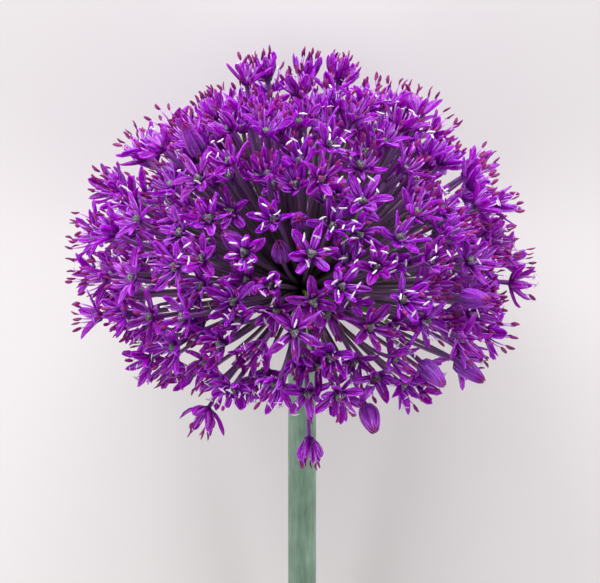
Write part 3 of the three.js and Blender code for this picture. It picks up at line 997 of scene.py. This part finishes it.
class ALLIUM_OT_stamens(bpy.types.Operator):
    """Stand six stamens in every open floret"""

    bl_idname = "allium.stamens"
    bl_label = "Stamens"

    def execute(self, context):
        props = context.scene.allium_stamens
        rod, rod_shape = tube_template(4, 4)
        sac, sac_shape = bead_template(6, 4)
        thick = props.filament_radius / MM
        radii = [thick * 1.5, thick, thick * 0.8, thick * 0.65, thick * 0.45]
        filaments, young, ripe = new_mesh(), new_mesh(), new_mesh()
        rng = random.Random(STAMEN_SEED)
        sunny = unit(TOP * 0.5 + UPPER * 0.87)
        up = np.array([0.0, 0.0, 1.0])
        for floret in OPEN_FLORETS:
            # The florets on the sunny side ripen first.
            turn = float(np.dot(floret["direction"], sunny))
            opened = rng.random() < props.ripe_share * (0.25 + 1.9 * max(0.0, turn) ** 1.5)
            for k in range(TEPALS):
                side = math.radians(60 * k + rng.uniform(-9, 9))
                out = np.array([math.cos(side), math.sin(side), 0.0])
                lean = math.radians(0.36 * floret["open"] + rng.uniform(-7, 8))
                length = props.filament_length / MM * rng.uniform(0.86, 1.08)
                foot = out * 0.62 + up * 0.1
                tip = foot + (out * math.sin(lean) + up * math.cos(lean)) * length
                middle = foot + (out * math.sin(lean + 0.16) + up * math.cos(lean + 0.16)) * length * 0.5
                path = np.array([foot, (foot + middle) / 2, middle, (middle + tip) / 2 + out * 0.08, tip])
                stamp(filaments, rod, in_floret(along_path(rod_shape, path, radii), floret), rng.random())
                ajar = rng.random() < (0.6 if opened else 0.07)
                points = self.anther(props, rng, sac_shape, tip, unit(tip - middle), ajar)
                stamp(ripe if ajar else young, sac, in_floret(points, floret), rng.random())
        write_piece(filaments, "filaments", "umbel", filament_lilac(props))
        skin = anther_skin("anther_crimson", props.young, "#8C1476", 0.45, 0.2)
        write_piece(young, "anthers_young", "umbel", skin)
        dust = anther_skin("anther_pollen_cream", "#A998A8", props.ripe, 0.75, 0.5)
        write_piece(ripe, "anthers_ripe", "umbel", dust)
        return {"FINISHED"}

    def anther(self, props, rng, shape, tip, upward, ajar):
        """An anther balances on the filament's tip: across it once open, nearly in line before."""
        length = props.anther_length / MM * (rng.uniform(0.95, 1.2) if ajar else rng.uniform(1.05, 1.3))
        thick = 0.18 if ajar else 0.34
        sideways = unit(np.cross(upward, [rng.uniform(-1, 1), rng.uniform(-1, 1), rng.uniform(-1, 1)]))
        tilt = math.radians(rng.uniform(55, 90) if ajar else rng.uniform(0, 32))
        along = unit(upward * math.cos(tilt) + sideways * math.sin(tilt))
        across = unit(np.cross(along, [0.3, 0.5, 0.8]))
        beside = np.cross(along, across)
        # Two lobes side by side, with a furrow between them.
        waist = 0.45 + 0.9 * np.abs(shape[:, :1])
        middle = tip + along * length * (0.0 if ajar else 0.3)
        bow = rng.uniform(-0.4, 0.4)
        return (
            middle
            + shape[:, 2:3] * along * length / 2
            + shape[:, :1] * across * thick * 1.25
            + shape[:, 1:2] * beside * thick * waist * 0.8
            + (shape[:, 2:3] ** 2 - 0.5) * beside * bow
        )


class ALLIUM_OT_ovaries(bpy.types.Operator):
    """Set the three-lobed ovary and its style in every open floret"""

    bl_idname = "allium.ovaries"
    bl_label = "Ovaries"

    def execute(self, context):
        props = context.scene.allium_ovaries
        mesh, shape = bead_template(12, 6)
        rod, rod_shape = tube_template(4, 3)
        ovaries, styles = new_mesh(), new_mesh()
        rng = random.Random(OVARY_SEED)
        x, y, z = shape[:, 0], shape[:, 1], shape[:, 2]
        angle = np.arctan2(y, x)
        for floret in OPEN_FLORETS:
            radius = props.radius / MM * rng.uniform(0.88, 1.1)
            lobed = radius * (0.86 + 0.2 * np.cos(3 * angle + rng.random()))
            points = np.stack([x * lobed, y * lobed, 0.85 + z * radius * 0.92], axis=1)
            stamp(ovaries, mesh, in_floret(points, floret), rng.random())
            top = [rng.uniform(-0.35, 0.35), rng.uniform(-0.35, 0.35), 1.5 + props.style_length / MM]
            top = np.array(top)
            path = np.array([[0, 0, 1.4], top * 0.5 + np.array([0, 0, 0.7]), top])
            points = along_path(rod_shape, path, [0.2, 0.14, 0.1])
            stamp(styles, rod, in_floret(points, floret), rng.random())
        write_piece(ovaries, "ovaries", "umbel", ovary_warty(props))
        write_piece(styles, "styles", "umbel", bpy.data.materials["filament_lilac"])
        return {"FINISHED"}


class ALLIUM_OT_buds(bpy.types.Operator):
    """Fold six broad tepals into every bud, over a dark heart"""

    bl_idname = "allium.buds"
    bl_label = "Buds"

    def execute(self, context):
        props = context.scene.allium_buds
        mesh, shape = blade_template(6, 10)
        heart, heart_shape = bead_template(10, 8)
        heart_points = heart_shape * [1.1, 1.1, 2.9] + [0, 0, 3.4]
        buds, hearts = new_mesh(), new_mesh()
        rng = random.Random(BUD_SEED)
        for floret in BUDS:
            tone = rng.random()
            plump = rng.uniform(0.9, 1.08)
            for k in range(TEPALS):
                side = 60 * k + rng.uniform(-4, 4)
                points = bud_points(shape, side, k % 2 == 0, plump, rng.uniform(0.0, 0.16))
                stamp(buds, mesh, in_floret(points, floret), tone)
            stamp(hearts, heart, in_floret(heart_points, floret), tone)
        piece = write_piece(buds, "buds", "umbel", petal_skin("bud_magenta", props, props.tip))
        thicken(piece, props.thickness)
        write_piece(hearts, "bud_hearts", "umbel", bpy.data.materials["anther_crimson"])
        return {"FINISHED"}


# Each lamp's name, its way from the middle of the umbel (to the right, to the picture's top and to
# the viewer), its distance in metres, its size, its watts and its colour.
LAMPS = [
    ("key", (-0.4, 0.85, 0.42), 0.9, 0.45, 9.8, "#F8F8FF"),
    ("fill_right", (0.85, -0.55, 0.4), 0.9, 0.7, 6.4, "#F8F4FF"),
    ("fill_left", (-0.85, -0.5, 0.4), 0.9, 0.7, 6.4, "#F8F4FF"),
    ("rim", (0.2, 0.9434, 0.3454), 0.8, 0.4, 7, "#F4F4FF"),
]
TABLE_SIZE = 4.0
ROOM_LIGHT = 0.4
# How far left of the umbel's middle, and below it, the camera aims.
AIM_LEFT, AIM_BELOW = 0.415, 0.5187


class ALLIUM_OT_stage(bpy.types.Operator):
    """Lay the table, set the lights and stand the camera over the flower"""

    bl_idname = "allium.stage"
    bl_label = "Stage"

    def execute(self, context):
        props = context.scene.allium_stage
        scene = context.scene
        bm = bmesh.new()
        bmesh.ops.create_grid(bm, x_segments=2, y_segments=2, size=TABLE_SIZE)
        table = new_object("table", mesh_from(bm, "table"))
        paper = {"Base Color": props.table, "Roughness": 0.85}
        table.data.materials.append(surface(start_material("table_paper_white"), paper))

        lift = props.elevation
        towards = TOP * math.sin(lift) + UPPER * math.cos(lift)
        up = TOP * math.cos(lift) - UPPER * math.sin(lift)
        across = np.cross(up, towards)
        centre = CENTRE * MM
        for name, way, distance, size, power, colour in LAMPS:
            place = centre + way @ np.array([across, up, towards]) * distance
            self.lamp(name, place, centre, size, power, colour)

        world = bpy.data.worlds.new("studio")
        world.use_nodes = True
        room = {"Color": "#F2EEEE", "Strength": ROOM_LIGHT}
        fill_inputs(world.node_tree, world.node_tree.nodes["Background"], room)
        scene.world = world
        scene.view_settings.view_transform = "Standard"

        camera_data = bpy.data.cameras.new("camera")
        camera_data.sensor_width = 36
        camera_data.lens = camera_data.sensor_width * props.distance / props.frame_width
        camera_data.clip_end = 20
        camera = new_object("camera", camera_data)
        aim = centre - (across * AIM_LEFT + up * AIM_BELOW) * MM
        camera.location = Vector(aim + towards * props.distance)
        camera.rotation_euler = look(across, up, towards)
        scene.camera = camera
        return {"FINISHED"}

    def lamp(self, name, place, aim, size, power, hex_colour):
        light = bpy.data.lights.new(name, "AREA")
        light.size = size
        light.energy = power
        light.color = linear(hex_colour)
        lamp = new_object(name, light)
        lamp.location = Vector(place)
        back = unit(place - aim)
        side = unit(np.cross([0.0, 1.0, 0.2], back))
        lamp.rotation_euler = look(side, np.cross(back, side), back)


def look(across, up, back):
    """The turn of a camera or lamp whose right, up and backward axes are these."""
    return Matrix((Vector(across), Vector(up), Vector(back))).transposed().to_euler()


# --- Panel and registration ----------------------------------------------------------------------

GROUPS = [
    ("allium_scape", ALLIUM_PG_scape),
    ("allium_stalks", ALLIUM_PG_stalks),
    ("allium_tepals", ALLIUM_PG_tepals),
    ("allium_stamens", ALLIUM_PG_stamens),
    ("allium_ovaries", ALLIUM_PG_ovaries),
    ("allium_buds", ALLIUM_PG_buds),
    ("allium_stage", ALLIUM_PG_stage),
]
OPERATORS = [
    ALLIUM_OT_scape,
    ALLIUM_OT_pedicels,
    ALLIUM_OT_receptacle,
    ALLIUM_OT_tepals,
    ALLIUM_OT_stamens,
    ALLIUM_OT_ovaries,
    ALLIUM_OT_buds,
    ALLIUM_OT_stage,
]


class ALLIUM_PT_panel(bpy.types.Panel):
    """The allium's pieces and their sizes"""

    bl_idname = "ALLIUM_PT_panel"
    bl_label = "Allium"
    bl_space_type = "VIEW_3D"
    bl_region_type = "UI"
    bl_category = "Allium"

    def draw(self, context):
        for operator in OPERATORS:
            self.layout.operator(operator.bl_idname)
        for name, group in GROUPS:
            box = self.layout.box()
            box.label(text=name.removeprefix("allium_").capitalize())
            for key in group.__annotations__:
                box.prop(getattr(context.scene, name), key)


def register():
    for name, group in GROUPS:
        bpy.utils.register_class(group)
        setattr(bpy.types.Scene, name, PointerProperty(type=group))
    for operator in OPERATORS:
        bpy.utils.register_class(operator)
    bpy.utils.register_class(ALLIUM_PT_panel)


def unregister():
    bpy.utils.unregister_class(ALLIUM_PT_panel)
    for operator in reversed(OPERATORS):
        bpy.utils.unregister_class(operator)
    for name, group in reversed(GROUPS):
        delattr(bpy.types.Scene, name)
        bpy.utils.unregister_class(group)


def main():
    register()
    bpy.ops.allium.scape()
    bpy.ops.allium.pedicels()
    bpy.ops.allium.receptacle()
    bpy.ops.allium.tepals()
    bpy.ops.allium.stamens()
    bpy.ops.allium.ovaries()
    bpy.ops.allium.buds()
    bpy.ops.allium.stage()


if __name__ == "__main__":
    main()
